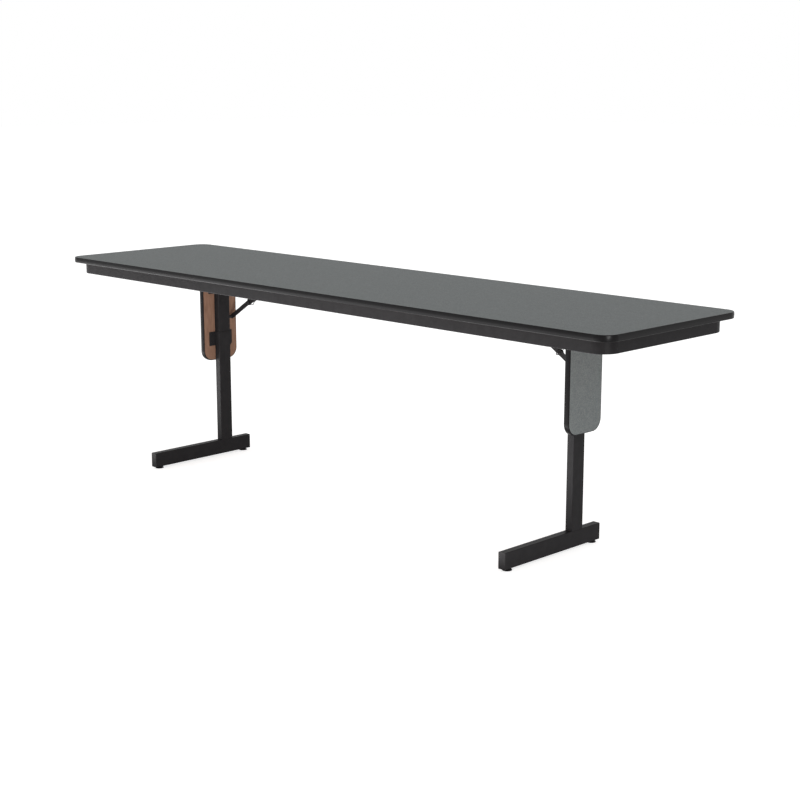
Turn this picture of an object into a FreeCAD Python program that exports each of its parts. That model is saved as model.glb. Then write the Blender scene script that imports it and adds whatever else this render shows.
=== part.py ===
"""Folding training table: laminated top on two offset panel legs that fold inward on locking braces.

Frame: origin on the floor under the middle of the top, +X along the length, +Y to the rear, +Z up.
The left end is modelled, and the right end is its mirror image in the plane x = 0.
"""
import FreeCAD
import Part
import math
import os
import Sketcher

SIZES = {
    # Worktop: an edge-banded board of particle core, laminate above and backer below
    "top_length": 2438.4,
    "top_width": 609.6,
    "top_height": 731.3,
    "top_corner_radius": 46.0,
    "core_thickness": 17.25,
    "laminate_thickness": 1.0,
    "backer_thickness": 0.8,
    # T-mould edge band: crowned face, and a barbed tongue in the groove of the core
    "band_face": 2.4,
    "band_crown": 0.8,
    "band_edge_radius": 1.8,
    "tongue_thickness": 2.0,
    "tongue_depth": 9.0,
    "barb_height": 0.6,
    "groove_end_gap": 1.0,
    # Apron: one bent steel rail all round, with a flange above and a hem below
    "apron_end_inset": 25.4,
    "apron_side_inset": 28.0,
    "apron_height": 38.7,
    "apron_corner_radius": 52.0,
    "apron_sheet": 1.5,
    "apron_flange": 16.0,
    "apron_hem": 6.0,
    "apron_bend_radius": 1.8,
    # Screws into the boards
    "screw_radius": 2.1,
    "screw_length": 13.0,
    "screw_head_radius": 4.0,
    "screw_head_height": 2.2,
    "pilot_end_gap": 1.0,
    # Leg weldment: pivot tube, stem and foot
    "leg_spacing": 1647.6,
    "stem_offset": 75.4,
    "stem_thickness": 25.4,
    "stem_width": 50.8,
    "stem_wall": 1.6,
    "stem_corner_radius": 2.0,
    "hinge_drop": 25.5,
    "pivot_tube_radius": 12.7,
    "pivot_tube_wall": 2.0,
    "pivot_tube_length": 330.0,
    "pivot_tube_rear_gap": 20.4,
    "foot_length": 431.8,
    "foot_height": 50.8,
    "foot_rear_reach": 107.95,
    # Plastic caps in the tube ends
    "foot_cap_flange": 2.5,
    "foot_cap_nut_gap": 1.0,
    "tube_cap_flange": 2.5,
    "tube_cap_plug": 10.0,
    "tube_cap_lip": 2.8,
    # Levelling glides and their weld nuts
    "glide_height": 6.7,
    "glide_radius": 14.5,
    "glide_sole_edge": 1.0,
    "glide_sole_height": 3.0,
    "glide_neck_radius": 7.5,
    "glide_cone_height": 2.0,
    "glide_stud_radius": 4.0,
    "glide_stud_length": 38.0,
    "glide_front_inset": 24.0,
    "glide_rear_inset": 24.0,
    "glide_nut_radius": 7.5,
    "glide_nut_height": 8.0,
    # Hinge brackets under the top
    "bracket_sheet": 3.0,
    "bracket_width": 50.0,
    "bracket_flange": 34.0,
    "bracket_ear_margin": 6.0,
    "bracket_end_play": 0.5,
    "bracket_screw_spacing": 32.0,
    # Leg panel and the two straps that clamp it to the stem
    "panel_width": 152.4,
    "panel_height": 317.5,
    "panel_top_gap": 40.6,
    "panel_corner_radius": 38.1,
    "strap_sheet": 2.0,
    "strap_height": 50.6,
    "strap_flange": 24.0,
    "strap_bend_radius": 1.5,
    "lower_strap_rise": 80.35,
    "upper_strap_drop": 46.75,
    "strap_screw_spacing": 28.0,
    # Folding brace: where its pivots lie, measured from the hinge axis
    "brace_drop": 176.0,
    "brace_offset": 6.0,
    "brace_reach": 289.0,
    "brace_standoff": 15.0,
    "lower_link_depth": 16.0,
    "lower_link_sheet": 3.0,
    "lower_link_tail": 6.0,
    "lower_link_corner": 3.0,
    "upper_link_depth": 21.0,
    "upper_link_sheet": 2.0,
    "upper_link_flange": 6.0,
    "upper_link_flange_inset": 20.0,
    "link_gap": 0.4,
    "brace_pin_radius": 3.2,
    "brace_pin_head_radius": 5.5,
    "brace_pin_head_height": 2.5,
    "brace_stud_radius": 6.0,
    "brace_ear_radius": 12.0,
    "brace_bracket_width": 28.0,
    "brace_bracket_flange": 30.0,
    "brace_screw_spacing": 16.0,
    "ring_wire_radius": 1.3,
    "ring_seat_gap": 0.3,
    "ring_sag": 0.7,
    "ring_rest": 8.0,
    # Fits
    "fit_gap": 0.1,
    "running_gap": 0.08,
    "glide_hole_gap": 0.5,
    "overrun": 5.0,
}

# Places of the apron screws as shares of half its length and half its width, and of the tongue's barbs
FRONT_SCREW_SHARES = (-0.84, -0.42, 0.0, 0.42, 0.84)
END_SCREW_SHARES = (-0.6, 0.6)
BARB_SHARE = 0.55
TONGUE_TIP_SHARE = 0.5


class Size:
    """A length or angle: its number now, and the sheet expression that gives it."""

    def __init__(self, value, text):
        self.value = value
        self.text = text

    def __add__(self, other):
        other = as_size(other)
        return Size(self.value + other.value, f"({self.text} + {other.text})")

    def __sub__(self, other):
        other = as_size(other)
        return Size(self.value - other.value, f"({self.text} - {other.text})")

    def __mul__(self, other):
        other = as_size(other)
        return Size(self.value * other.value, f"({self.text} * {other.text})")

    def __truediv__(self, other):
        other = as_size(other)
        return Size(self.value / other.value, f"({self.text} / {other.text})")

    def __rmul__(self, other):
        return as_size(other) * self

    def __neg__(self):
        return Size(-self.value, f"(-1 * {self.text})")


def as_size(item):
    """Take a plain number as a size."""
    return item if isinstance(item, Size) else Size(item, str(item))


def root_of_squares(first, second):
    """The long side of a right triangle."""
    return Size(math.hypot(first.value, second.value), f"sqrt({first.text}^2 + {second.text}^2)")


def slope(rise, run):
    """The angle of a line, in degrees."""
    angle = math.degrees(math.atan2(rise.value, run.value))
    return Size(angle, f"atan2({rise.text}; {run.text})")


doc = FreeCAD.newDocument("training_table")
sheet = doc.addObject("Spreadsheet::Sheet", "Sizes")
for row, (alias, number) in enumerate(SIZES.items(), 1):
    sheet.set(f"A{row}", str(number))
    sheet.setAlias(f"A{row}", alias)
doc.recompute()

ZERO = Size(0.0, "0")
QUARTER_TURN = 90.0
TOUCH = 0.001
nodes = {}


def size(alias):
    """A driving dimension, read from its cell."""
    return Size(float(sheet.get(alias)), f"Sizes.{alias}")


def bind(item, path, amount):
    """Tie one property of an object to the sheet."""
    item.setExpression(path, amount.text)


# Sketches and features


def new_body(label):
    """Start one piece."""
    body = doc.addObject("PartDesign::Body", label)
    body.AllowCompound = True
    nodes[label] = body
    return body


def new_sketch(body, name, role, level):
    """A sketch on one of the body's own planes, moved along that plane's normal."""
    sketch = body.newObject("Sketcher::SketchObject", name)
    plane = next(item for item in body.Origin.OriginFeatures if item.Role == role)
    sketch.AttachmentSupport = [(plane, "")]
    sketch.MapMode = "FlatFace"
    bind(sketch, "AttachmentOffset.Base.z", level)
    return sketch


def constrain(sketch, kind, places, amount):
    """Add one dimension to a sketch and tie it to the sheet."""
    index = sketch.addConstraint(Sketcher.Constraint(kind, *places, amount.value))
    bind(sketch, f"Constraints[{index}]", amount)


def outline(sketch, corners):
    """Draw a closed run of corners (x, y). A corner (x, y, radius, centre) has an arc to the next one."""
    first = sketch.GeometryCount
    points = [FreeCAD.Vector(corner[0].value, corner[1].value, 0) for corner in corners]
    for index, corner in enumerate(corners):
        start = points[index]
        end = points[(index + 1) % len(points)]
        if len(corner) > 2:
            centre = FreeCAD.Vector(corner[3][0].value, corner[3][1].value, 0)
            outward = (start + end) * 0.5 - centre
            middle = centre + outward.normalize() * corner[2].value
            sketch.addGeometry(Part.Arc(start, middle, end))
        else:
            sketch.addGeometry(Part.LineSegment(start, end))
    starts = []
    for index in range(len(corners)):
        curve = sketch.Geometry[first + index]
        same = curve.StartPoint.distanceToPoint(points[index]) < curve.EndPoint.distanceToPoint(points[index])
        starts.append(1 if same else 2)
    for index, corner in enumerate(corners):
        place = (first + index, starts[index])
        last = (index - 1) % len(corners)
        sketch.addConstraint(Sketcher.Constraint("Coincident", *place, first + last, 3 - starts[last]))
        constrain(sketch, "DistanceX", (-1, 1, *place), corner[0])
        constrain(sketch, "DistanceY", (-1, 1, *place), corner[1])
        if len(corner) > 2:
            constrain(sketch, "Radius", (first + index,), corner[2])


def rectangle(sketch, left, right, low, high):
    """A plain rectangle."""
    outline(sketch, [(left, low), (right, low), (right, high), (left, high)])


def rounded(sketch, half_x, half_y, radius, middle=(ZERO, ZERO)):
    """A rectangle with round corners about a middle point, starting half way up its right side."""
    x, y = middle
    in_x = half_x - radius
    in_y = half_y - radius
    outline(sketch, [
        (x + half_x, y),
        (x + half_x, y + in_y, radius, (x + in_x, y + in_y)),
        (x + in_x, y + half_y),
        (x - in_x, y + half_y, radius, (x - in_x, y + in_y)),
        (x - half_x, y + in_y),
        (x - half_x, y - in_y, radius, (x - in_x, y - in_y)),
        (x - in_x, y - half_y),
        (x + in_x, y - half_y, radius, (x + in_x, y - in_y)),
        (x + half_x, y - in_y),
    ])


def circles(sketch, centres, radius):
    """Equal circles about several centres."""
    for x, y in centres:
        centre = FreeCAD.Vector(x.value, y.value, 0)
        index = sketch.addGeometry(Part.Circle(centre, FreeCAD.Vector(0, 0, 1), radius.value))
        constrain(sketch, "DistanceX", (-1, 1, index, 3), x)
        constrain(sketch, "DistanceY", (-1, 1, index, 3), y)
        constrain(sketch, "Radius", (index,), radius)


def pad(body, name, role, low, high, draw):
    """Fill a sketch between two levels along its plane's axis. The XZ plane faces -Y."""
    sketch = new_sketch(body, f"{name}_sketch", role, -high if role == "XZ_Plane" else low)
    draw(sketch)
    feature = body.newObject("PartDesign::Pad", name)
    feature.Profile = sketch
    bind(feature, "Length", high - low)
    doc.recompute()
    return feature


def pocket(body, name, role, low, high, draw):
    """Cut a sketch away between two levels, and see that it took something."""
    before = body.Shape.Volume
    sketch = new_sketch(body, f"{name}_sketch", role, -low if role == "XZ_Plane" else high)
    draw(sketch)
    feature = body.newObject("PartDesign::Pocket", name)
    feature.Profile = sketch
    bind(feature, "Length", high - low)
    doc.recompute()
    if body.Shape.Volume >= before:
        raise RuntimeError(f"{body.Label}: {name} cuts nothing")
    return feature


def revolve(body, name, corners):
    """Turn an outline (radius, height) about the body's own Z axis."""
    sketch = new_sketch(body, f"{name}_sketch", "XZ_Plane", ZERO)
    outline(sketch, corners)
    feature = body.newObject("PartDesign::Revolution", name)
    feature.Profile = sketch
    feature.ReferenceAxis = (sketch, ["V_Axis"])
    doc.recompute()
    return feature


def fillet(body, name, radius, wanted):
    """Round the edges of the body that a test picks out."""
    base = body.Tip
    picked = [f"Edge{index}" for index, edge in enumerate(base.Shape.Edges, 1) if wanted(edge)]
    feature = body.newObject("PartDesign::Fillet", name)
    feature.Base = (base, picked)
    bind(feature, "Radius", radius)
    doc.recompute()
    return feature


def move(body, x, y, z):
    """Place a body that is drawn about its own origin."""
    bind(body, "Placement.Base.x", x)
    bind(body, "Placement.Base.y", y)
    bind(body, "Placement.Base.z", z)


def turn(body, axis, angle):
    """Turn a body about its own origin."""
    body.Placement = FreeCAD.Placement(FreeCAD.Vector(), FreeCAD.Rotation(axis, angle.value))
    bind(body, "Placement.Rotation.Angle", angle)


# Levels and lines that several pieces share

fit = size("fit_gap")
running = size("running_gap")
overrun = size("overrun")
half_board = (size("core_thickness") + size("laminate_thickness") + size("backer_thickness")) / 2
underside = size("top_height") - half_board * 2
band_reach = size("band_face") + size("band_crown") + fit
stem_x = -size("leg_spacing") / 2
stem_y = size("stem_offset")
stem_half = size("stem_thickness") / 2
stem_front = stem_y - size("stem_width") / 2
stem_rear = stem_y + size("stem_width") / 2
hinge_z = underside - size("hinge_drop")
apron_half_x = size("top_length") / 2 - size("apron_end_inset")
apron_half_y = size("top_width") / 2 - size("apron_side_inset")
tube_rear = apron_half_y - size("apron_flange") - size("pivot_tube_rear_gap")
tube_front = tube_rear - size("pivot_tube_length")
foot_top = size("glide_height") + size("foot_height")
foot_rear = stem_y + size("foot_rear_reach")
foot_front = foot_rear - size("foot_length")
glide_places = [
    (stem_x, foot_front + size("glide_front_inset")),
    (stem_x, foot_rear - size("glide_rear_inset")),
]

# The brace: straight at rest, doubled back on itself when the leg is folded
brace_run = size("brace_reach") - size("brace_offset")
brace_rise = size("brace_drop") + size("brace_offset")
brace_open = root_of_squares(brace_run, brace_rise)
brace_folded = size("brace_reach") - size("brace_drop")
upper_length = (brace_open + brace_folded) / 2
lower_length = (brace_open - brace_folded) / 2
brace_angle = slope(brace_rise, brace_run)
leg_pivot = (stem_x + size("brace_offset"), hinge_z - size("brace_drop"))
top_pivot = (stem_x + size("brace_reach"), hinge_z + size("brace_offset"))
run_share = brace_run / brace_open
rise_share = brace_rise / brace_open
knee = (leg_pivot[0] + lower_length * run_share, leg_pivot[1] + lower_length * rise_share)
lower_front = stem_rear + size("brace_standoff")
lower_rear = lower_front + size("lower_link_sheet")
upper_front = lower_rear + size("link_gap")
upper_web = upper_front + size("upper_link_sheet")
upper_rear = upper_web + size("upper_link_flange")

# Where screws go up into the top: apron, hinge brackets and brace brackets
apron_line = (size("apron_flange") + size("apron_sheet")) / 2
bracket_middle = (size("bracket_flange") + size("bracket_sheet")) / 2
bracket_front = tube_front + size("bracket_end_play")
bracket_rear = tube_rear - size("bracket_end_play")
apron_screw_places = [
    (apron_half_x * share, side * (apron_half_y - apron_line))
    for share in FRONT_SCREW_SHARES for side in (1, -1)
] + [
    (side * (apron_half_x - apron_line), apron_half_y * share)
    for share in END_SCREW_SHARES for side in (1, -1)
]
hinge_screw_places = [
    (stem_x + side * (size("bracket_screw_spacing") / 2), y)
    for y in (bracket_front + bracket_middle, bracket_rear - bracket_middle) for side in (1, -1)
]
brace_flange_front = lower_rear - size("brace_bracket_flange")
brace_screw_places = [
    (top_pivot[0] + side * (size("brace_screw_spacing") / 2), (brace_flange_front + lower_front) / 2)
    for side in (1, -1)
]
left_screw_places = hinge_screw_places + brace_screw_places
top_holes = apron_screw_places + left_screw_places + [(-x, y) for x, y in left_screw_places]

# Where screws go through the straps into the panel, as (y, z)
strap_line = size("stem_width") / 2 + fit + size("strap_sheet") + size("strap_flange") / 2
panel_top = underside - size("panel_top_gap")
panel_bottom = panel_top - size("panel_height")
lower_strap_middle = panel_bottom + size("lower_strap_rise")
upper_strap_middle = panel_top - size("upper_strap_drop")
strap_screw_places = [
    (stem_y + side * strap_line, middle + step * (size("strap_screw_spacing") / 2))
    for middle in (lower_strap_middle, upper_strap_middle) for side in (1, -1) for step in (1, -1)
]
panel_face = stem_x - stem_half
panel_middle = panel_top - size("panel_height") / 2
panel_holes = [(z - panel_middle, y - stem_y) for y, z in strap_screw_places]


# Edge-banded boards, drawn flat about their own middle: X long, Y across, laminate on +Z


def board_core(label, half_x, half_y, radius, holes):
    """Particle-board core, grooved all round for the band and drilled from below."""
    body = new_body(label)
    low = size("backer_thickness") - half_board
    high = half_board - size("laminate_thickness")
    core = (half_x - band_reach, half_y - band_reach, radius - band_reach)
    depth = size("tongue_depth") + size("groove_end_gap")
    half_groove = size("tongue_thickness") / 2 + size("barb_height") + fit

    def groove(sketch):
        rounded(sketch, *[length + overrun for length in core])
        rounded(sketch, *[length - depth for length in core])

    pad(body, "slab", "XY_Plane", low, high, lambda sketch: rounded(sketch, *core))
    pocket(body, "groove", "XY_Plane", -half_groove, half_groove, groove)
    pocket(body, "pilot_holes", "XY_Plane", low, size("screw_length") + size("pilot_end_gap") - half_board,
           lambda sketch: circles(sketch, holes, size("screw_radius") + fit))
    return body


def board_sheet(label, half_x, half_y, radius, low, high, holes):
    """A sheet bonded to the core, the laminate or the backer."""
    body = new_body(label)

    def sheet_outline(sketch):
        rounded(sketch, half_x - band_reach, half_y - band_reach, radius - band_reach)
        circles(sketch, holes, size("screw_radius") + fit)

    pad(body, "sheet", "XY_Plane", low, high, sheet_outline)
    return body


def band_profile(sketch, edge):
    """Section of the T-mould where the core's edge is at x = edge: crowned face, barbed tongue."""
    inner = edge + fit
    face = inner + size("band_face")
    bend = size("band_edge_radius")
    crown = size("band_crown")
    shoulder = half_board - bend
    crown_radius = (shoulder * shoulder + crown * crown) / (crown * 2)
    root = size("tongue_thickness") / 2
    barb = root + size("barb_height")
    barb_x = edge - size("tongue_depth") * BARB_SHARE
    tip_x = edge - size("tongue_depth")
    tip = root * TONGUE_TIP_SHARE
    outline(sketch, [
        (inner, -half_board),
        (face - bend, -half_board, bend, (face - bend, -shoulder)),
        (face, -shoulder, crown_radius, (face + crown - crown_radius, ZERO)),
        (face, shoulder, bend, (face - bend, shoulder)),
        (face - bend, half_board),
        (inner, half_board),
        (inner, root),
        (barb_x, root),
        (barb_x, barb),
        (tip_x, tip),
        (tip_x, -tip),
        (barb_x, -barb),
        (barb_x, -root),
        (inner, -root),
    ])


def edge_band(label, half_x, half_y, radius):
    """The T-mould, one section swept round the edge of the core."""
    body = new_body(label)
    core = (half_x - band_reach, half_y - band_reach, radius - band_reach)
    path = new_sketch(body, "path", "XY_Plane", ZERO)
    rounded(path, *core)
    section = new_sketch(body, "section", "XZ_Plane", ZERO)
    band_profile(section, core[0])
    sweep = body.newObject("PartDesign::AdditivePipe", "sweep")
    sweep.Profile = section
    sweep.Spine = path
    doc.recompute()
    return body


def banded_board(prefix, half_x, half_y, radius, holes):
    """The four pieces of an edge-banded board."""
    laminate_low = half_board - size("laminate_thickness")
    backer_high = size("backer_thickness") - half_board
    return [
        board_core(f"{prefix}_core", half_x, half_y, radius, holes),
        board_sheet(f"{prefix}_laminate", half_x, half_y, radius, laminate_low, half_board, []),
        board_sheet(f"{prefix}_backer", half_x, half_y, radius, -half_board, backer_high, holes),
        edge_band(f"{prefix}_edge_band", half_x, half_y, radius),
    ]


def worktop():
    """The top, lifted to its height."""
    half = (size("top_length") / 2, size("top_width") / 2)
    for body in banded_board("top", *half, size("top_corner_radius"), top_holes):
        move(body, ZERO, ZERO, size("top_height") - half_board)


def leg_panel():
    """The panel stood upright against the outer face of the stem, laminate outward."""
    half = (size("panel_height") / 2, size("panel_width") / 2)
    upright = FreeCAD.Rotation(FreeCAD.Vector(0, -1, 0), QUARTER_TURN)
    for body in banded_board("left_panel", *half, size("panel_corner_radius"), panel_holes):
        body.Placement = FreeCAD.Placement(FreeCAD.Vector(), upright)
        move(body, panel_face - half_board, stem_y, panel_middle)


# Apron


def apron():
    """Bent rail round the underside: wall, inward flange above, inward hem below."""
    body = new_body("apron")
    outer = (apron_half_x, apron_half_y, size("apron_corner_radius"))
    bottom = underside - size("apron_height")

    def ring(depth, holes=()):
        def draw(sketch):
            rounded(sketch, *outer)
            rounded(sketch, *[length - depth for length in outer])
            circles(sketch, holes, size("screw_radius") + fit)
        return draw

    metal = size("apron_sheet")
    pad(body, "wall", "XY_Plane", bottom, underside, ring(metal))
    pad(body, "hem", "XY_Plane", bottom, bottom + metal, ring(size("apron_hem")))
    flange = ring(size("apron_flange"), apron_screw_places)
    pad(body, "flange", "XY_Plane", underside - metal, underside, flange)
    fillet(body, "bends", size("apron_bend_radius"), lambda edge: on_rim(edge, outer, (bottom, underside)))


def on_rim(edge, outer, levels):
    """Tell the outermost edges of a rounded rail that lie flat at one of the levels."""
    box = edge.BoundBox
    flat = any(abs(box.ZMin - level.value) + abs(box.ZMax - level.value) < TOUCH for level in levels)
    half_x, half_y, radius = [length.value for length in outer]
    middle = edge.valueAt((edge.FirstParameter + edge.LastParameter) / 2)
    over_x = max(abs(middle.x) - half_x + radius, 0)
    over_y = max(abs(middle.y) - half_y + radius, 0)
    return flat and abs(math.hypot(over_x, over_y) - radius) < TOUCH


# Screws


def board_screws(label, centres, plate):
    """Round-head screws from below, through a plate of the given thickness into the top."""
    body = new_body(label)
    seat = underside - plate
    pad(body, "heads", "XY_Plane", seat - size("screw_head_height"), seat,
        lambda sketch: circles(sketch, centres, size("screw_head_radius")))
    pad(body, "shanks", "XY_Plane", seat, seat + size("screw_length"),
        lambda sketch: circles(sketch, centres, size("screw_radius")))


screw_taper = slope(size("screw_head_radius") - size("screw_radius"), size("strap_sheet"))


def strap_screws():
    """Flat-head screws, flush with the straps, from the inboard side into the panel."""
    body = new_body("left_strap_screws")
    surface = panel_face + size("strap_sheet")
    pad(body, "shanks", "YZ_Plane", surface - size("screw_length"), surface,
        lambda sketch: circles(sketch, strap_screw_places, size("screw_radius")))
    heads = pad(body, "heads", "YZ_Plane", panel_face, surface,
                lambda sketch: circles(sketch, strap_screw_places, size("screw_radius")))
    bind(heads, "TaperAngle", screw_taper)


# Leg weldment


def stem():
    """Rectangular tube, coped at its upper end to seat the pivot tube."""
    body = new_body("left_leg_stem")
    wall = size("stem_wall")
    outer = (stem_half, size("stem_width") / 2, size("stem_corner_radius"))

    def section(sketch):
        rounded(sketch, *outer, (stem_x, stem_y))
        rounded(sketch, *[length - wall for length in outer], (stem_x, stem_y))

    pad(body, "tube", "XY_Plane", foot_top, hinge_z - size("pivot_tube_radius") / 2, section)
    pocket(body, "cope", "XZ_Plane", stem_front - overrun, stem_rear + overrun,
           lambda sketch: circles(sketch, [(stem_x, hinge_z)], size("pivot_tube_radius") + fit))


def pivot_tube():
    """Round tube across the table that turns in the hinge brackets."""
    body = new_body("left_pivot_tube")

    def section(sketch):
        circles(sketch, [(stem_x, hinge_z)], size("pivot_tube_radius"))
        circles(sketch, [(stem_x, hinge_z)], size("pivot_tube_radius") - size("pivot_tube_wall"))

    pad(body, "tube", "XZ_Plane", tube_front, tube_rear, section)


def pivot_tube_caps():
    """Plastic caps that close the pivot tube and keep it between its brackets."""
    body = new_body("left_pivot_tube_caps")
    plug_radius = size("pivot_tube_radius") - size("pivot_tube_wall") - fit
    cap_radius = size("pivot_tube_radius") + size("tube_cap_lip")
    flange = size("tube_cap_flange")
    plug = size("tube_cap_plug")
    levels = [
        ("front_flange", tube_front - flange, tube_front, cap_radius),
        ("front_plug", tube_front, tube_front + plug, plug_radius),
        ("rear_flange", tube_rear, tube_rear + flange, cap_radius),
        ("rear_plug", tube_rear - plug, tube_rear, plug_radius),
    ]
    for name, low, high, radius in levels:
        pad(body, name, "XZ_Plane", low, high, lambda sketch: circles(sketch, [(stem_x, hinge_z)], radius))


foot_section = (stem_half, size("foot_height") / 2, size("stem_corner_radius"))
foot_bore = [length - size("stem_wall") for length in foot_section]
foot_middle = (stem_x, size("glide_height") + size("foot_height") / 2)


def foot():
    """Rectangular tube under the stem, drilled below for the glides."""
    body = new_body("left_leg_foot")

    def section(sketch):
        rounded(sketch, *foot_section, foot_middle)
        rounded(sketch, *foot_bore, foot_middle)

    cap = size("foot_cap_flange")
    pad(body, "tube", "XZ_Plane", foot_front + cap, foot_rear - cap, section)
    sole = size("glide_height")
    pocket(body, "glide_holes", "XY_Plane", sole - overrun, sole + size("stem_wall") * 2,
           lambda sketch: circles(sketch, glide_places, size("glide_stud_radius") + size("glide_hole_gap")))


def foot_end_caps():
    """Plastic caps pushed into both ends of the foot, flush with its outside."""
    body = new_body("left_foot_end_caps")
    flange = size("foot_cap_flange")
    plug = size("glide_rear_inset") - size("glide_nut_radius") - size("foot_cap_nut_gap") - flange
    plug_section = [length - fit for length in foot_bore]
    levels = [
        ("front_flange", foot_front, foot_front + flange, foot_section),
        ("front_plug", foot_front + flange, foot_front + flange + plug, plug_section),
        ("rear_flange", foot_rear - flange, foot_rear, foot_section),
        ("rear_plug", foot_rear - flange - plug, foot_rear - flange, plug_section),
    ]
    for name, low, high, section in levels:
        pad(body, name, "XZ_Plane", low, high, lambda sketch: rounded(sketch, *section, foot_middle))


def glide_nuts():
    """Nuts welded inside the foot over the glide holes."""
    body = new_body("left_glide_nuts")
    seat = size("glide_height") + size("stem_wall")

    def section(sketch):
        circles(sketch, glide_places, size("glide_nut_radius"))
        circles(sketch, glide_places, size("glide_stud_radius") + running)

    pad(body, "nuts", "XY_Plane", seat, seat + size("glide_nut_height"), section)


def glide(label, place):
    """Screw-in levelling glide: round sole, cone, neck against the foot, threaded stud."""
    body = new_body(label)
    sole = size("glide_radius")
    neck = size("glide_neck_radius")
    stud = size("glide_stud_radius")
    shoulder = size("glide_height")
    stud_top = shoulder + size("glide_stud_length")
    revolve(body, "turning", [
        (ZERO, ZERO),
        (sole - size("glide_sole_edge"), ZERO),
        (sole, size("glide_sole_edge")),
        (sole, size("glide_sole_height")),
        (neck, size("glide_sole_height") + size("glide_cone_height")),
        (neck, shoulder),
        (stud, shoulder),
        (stud, stud_top),
        (ZERO, stud_top),
    ])
    move(body, *place, ZERO)


# Hinge brackets


def hinge_bracket(label, outer_face, inward):
    """Angle bracket: flange screwed under the top, ear bored for the pivot tube."""
    body = new_body(label)
    metal = size("bracket_sheet")
    bore = size("pivot_tube_radius") + running
    ear = bore + size("bracket_ear_margin")
    half = size("bracket_width") / 2
    ear_y = (outer_face, outer_face + inward * metal)[::inward]
    flange_y = (outer_face, outer_face + inward * size("bracket_flange"))[::inward]
    places = [place for place in hinge_screw_places if flange_y[0].value < place[1].value < flange_y[1].value]

    def flange(sketch):
        rectangle(sketch, stem_x - half, stem_x + half, *flange_y)
        circles(sketch, places, size("screw_radius") + fit)

    pad(body, "flange", "XY_Plane", underside - metal, underside, flange)
    pad(body, "ear", "XZ_Plane", *ear_y,
        lambda sketch: rectangle(sketch, stem_x - ear, stem_x + ear, hinge_z, underside))
    pad(body, "eye", "XZ_Plane", *ear_y, lambda sketch: circles(sketch, [(stem_x, hinge_z)], ear))
    pocket(body, "bore", "XZ_Plane", ear_y[0] - overrun, ear_y[1] + overrun,
           lambda sketch: circles(sketch, [(stem_x, hinge_z)], bore))


# Panel straps


def strap(label, middle):
    """Hat-shaped saddle strap: over the stem, with a flange on the panel on each side."""
    body = new_body(label)
    metal = size("strap_sheet")
    bed = panel_face + metal
    inner = stem_x + stem_half + fit
    web = inner + metal
    near = stem_front - fit
    far = stem_rear + fit
    reach = size("strap_flange")
    low = middle - size("strap_height") / 2
    high = middle + size("strap_height") / 2
    corners = [
        (panel_face, near - metal - reach),
        (bed, near - metal - reach),
        (bed, near - metal),
        (web, near - metal),
        (web, far + metal),
        (bed, far + metal),
        (bed, far + metal + reach),
        (panel_face, far + metal + reach),
        (panel_face, far),
        (inner, far),
        (inner, near),
        (panel_face, near),
    ]
    pad(body, "hat", "XY_Plane", low, high, lambda sketch: outline(sketch, corners))
    places = [place for place in strap_screw_places if low.value < place[1].value < high.value]
    pocket(body, "screw_holes", "YZ_Plane", panel_face - overrun, bed + overrun,
           lambda sketch: circles(sketch, places, size("screw_radius") + fit))
    sinks = pocket(body, "countersinks", "YZ_Plane", panel_face, bed,
                   lambda sketch: circles(sketch, places, size("screw_head_radius") + fit))
    bind(sinks, "TaperAngle", -screw_taper)
    fillet(body, "bends", size("strap_bend_radius"),
           lambda edge: edge.BoundBox.XMin > web.value - TOUCH and edge.BoundBox.ZLength > TOUCH)


# Folding brace


def along_brace(body, start):
    """Lay a piece that is drawn along +X on the line of the brace, from a pivot."""
    turn(body, FreeCAD.Vector(0, -1, 0), brace_angle)
    move(body, start[0], ZERO, start[1])


def drill(body, name, along, radius, low, high):
    """A cross hole for a pin."""
    pocket(body, name, "XZ_Plane", low - overrun, high + overrun,
           lambda sketch: circles(sketch, [(along, ZERO)], radius))


def lower_link():
    """Flat link from the stud on the stem to the knee, with a short square tail past the knee."""
    body = new_body("left_brace_lower_link")
    pin = size("brace_pin_radius")
    half = size("lower_link_depth") / 2
    end = lower_length + size("lower_link_tail")
    pad(body, "bar", "XZ_Plane", lower_front, lower_rear,
        lambda sketch: rectangle(sketch, ZERO, end, -half, half))
    pad(body, "stud_end", "XZ_Plane", lower_front, lower_rear,
        lambda sketch: circles(sketch, [(ZERO, ZERO)], half))
    fillet(body, "knee_end", size("lower_link_corner"),
           lambda edge: edge.BoundBox.XMin > end.value - TOUCH and edge.BoundBox.YLength > TOUCH
           and edge.BoundBox.ZLength < TOUCH)
    drill(body, "stud_hole", ZERO, pin + running, lower_front, lower_rear)
    drill(body, "knee_hole", lower_length, pin + fit, lower_front, lower_rear)
    along_brace(body, leg_pivot)


def upper_link():
    """Channel link from the knee to the bracket under the top, its flanges to the rear."""
    body = new_body("left_brace_upper_link")
    pin = size("brace_pin_radius")
    half = size("upper_link_depth") / 2
    metal = size("upper_link_sheet")
    start = size("upper_link_flange_inset")
    end = upper_length - start
    pad(body, "web", "XZ_Plane", upper_front, upper_web,
        lambda sketch: rectangle(sketch, ZERO, upper_length, -half, half))
    pad(body, "web_ends", "XZ_Plane", upper_front, upper_web,
        lambda sketch: circles(sketch, [(ZERO, ZERO), (upper_length, ZERO)], half))
    for name, low, high in (("upper_flange", half - metal, half), ("lower_flange", -half, metal - half)):
        pad(body, name, "XZ_Plane", upper_front, upper_rear,
            lambda sketch: rectangle(sketch, start, end, low, high))
    drill(body, "knee_hole", ZERO, pin + fit, upper_front, upper_web)
    drill(body, "pin_hole", upper_length, pin + running, upper_front, upper_web)
    along_brace(body, knee)


def pin_stack(label, start, levels):
    """A pin or rivet along Y: discs of given radius between given levels, all on one axis."""
    body = new_body(label)
    for name, low, high, radius in levels:
        pad(body, name, "XZ_Plane", low, high, lambda sketch: circles(sketch, [start], radius))


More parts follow.
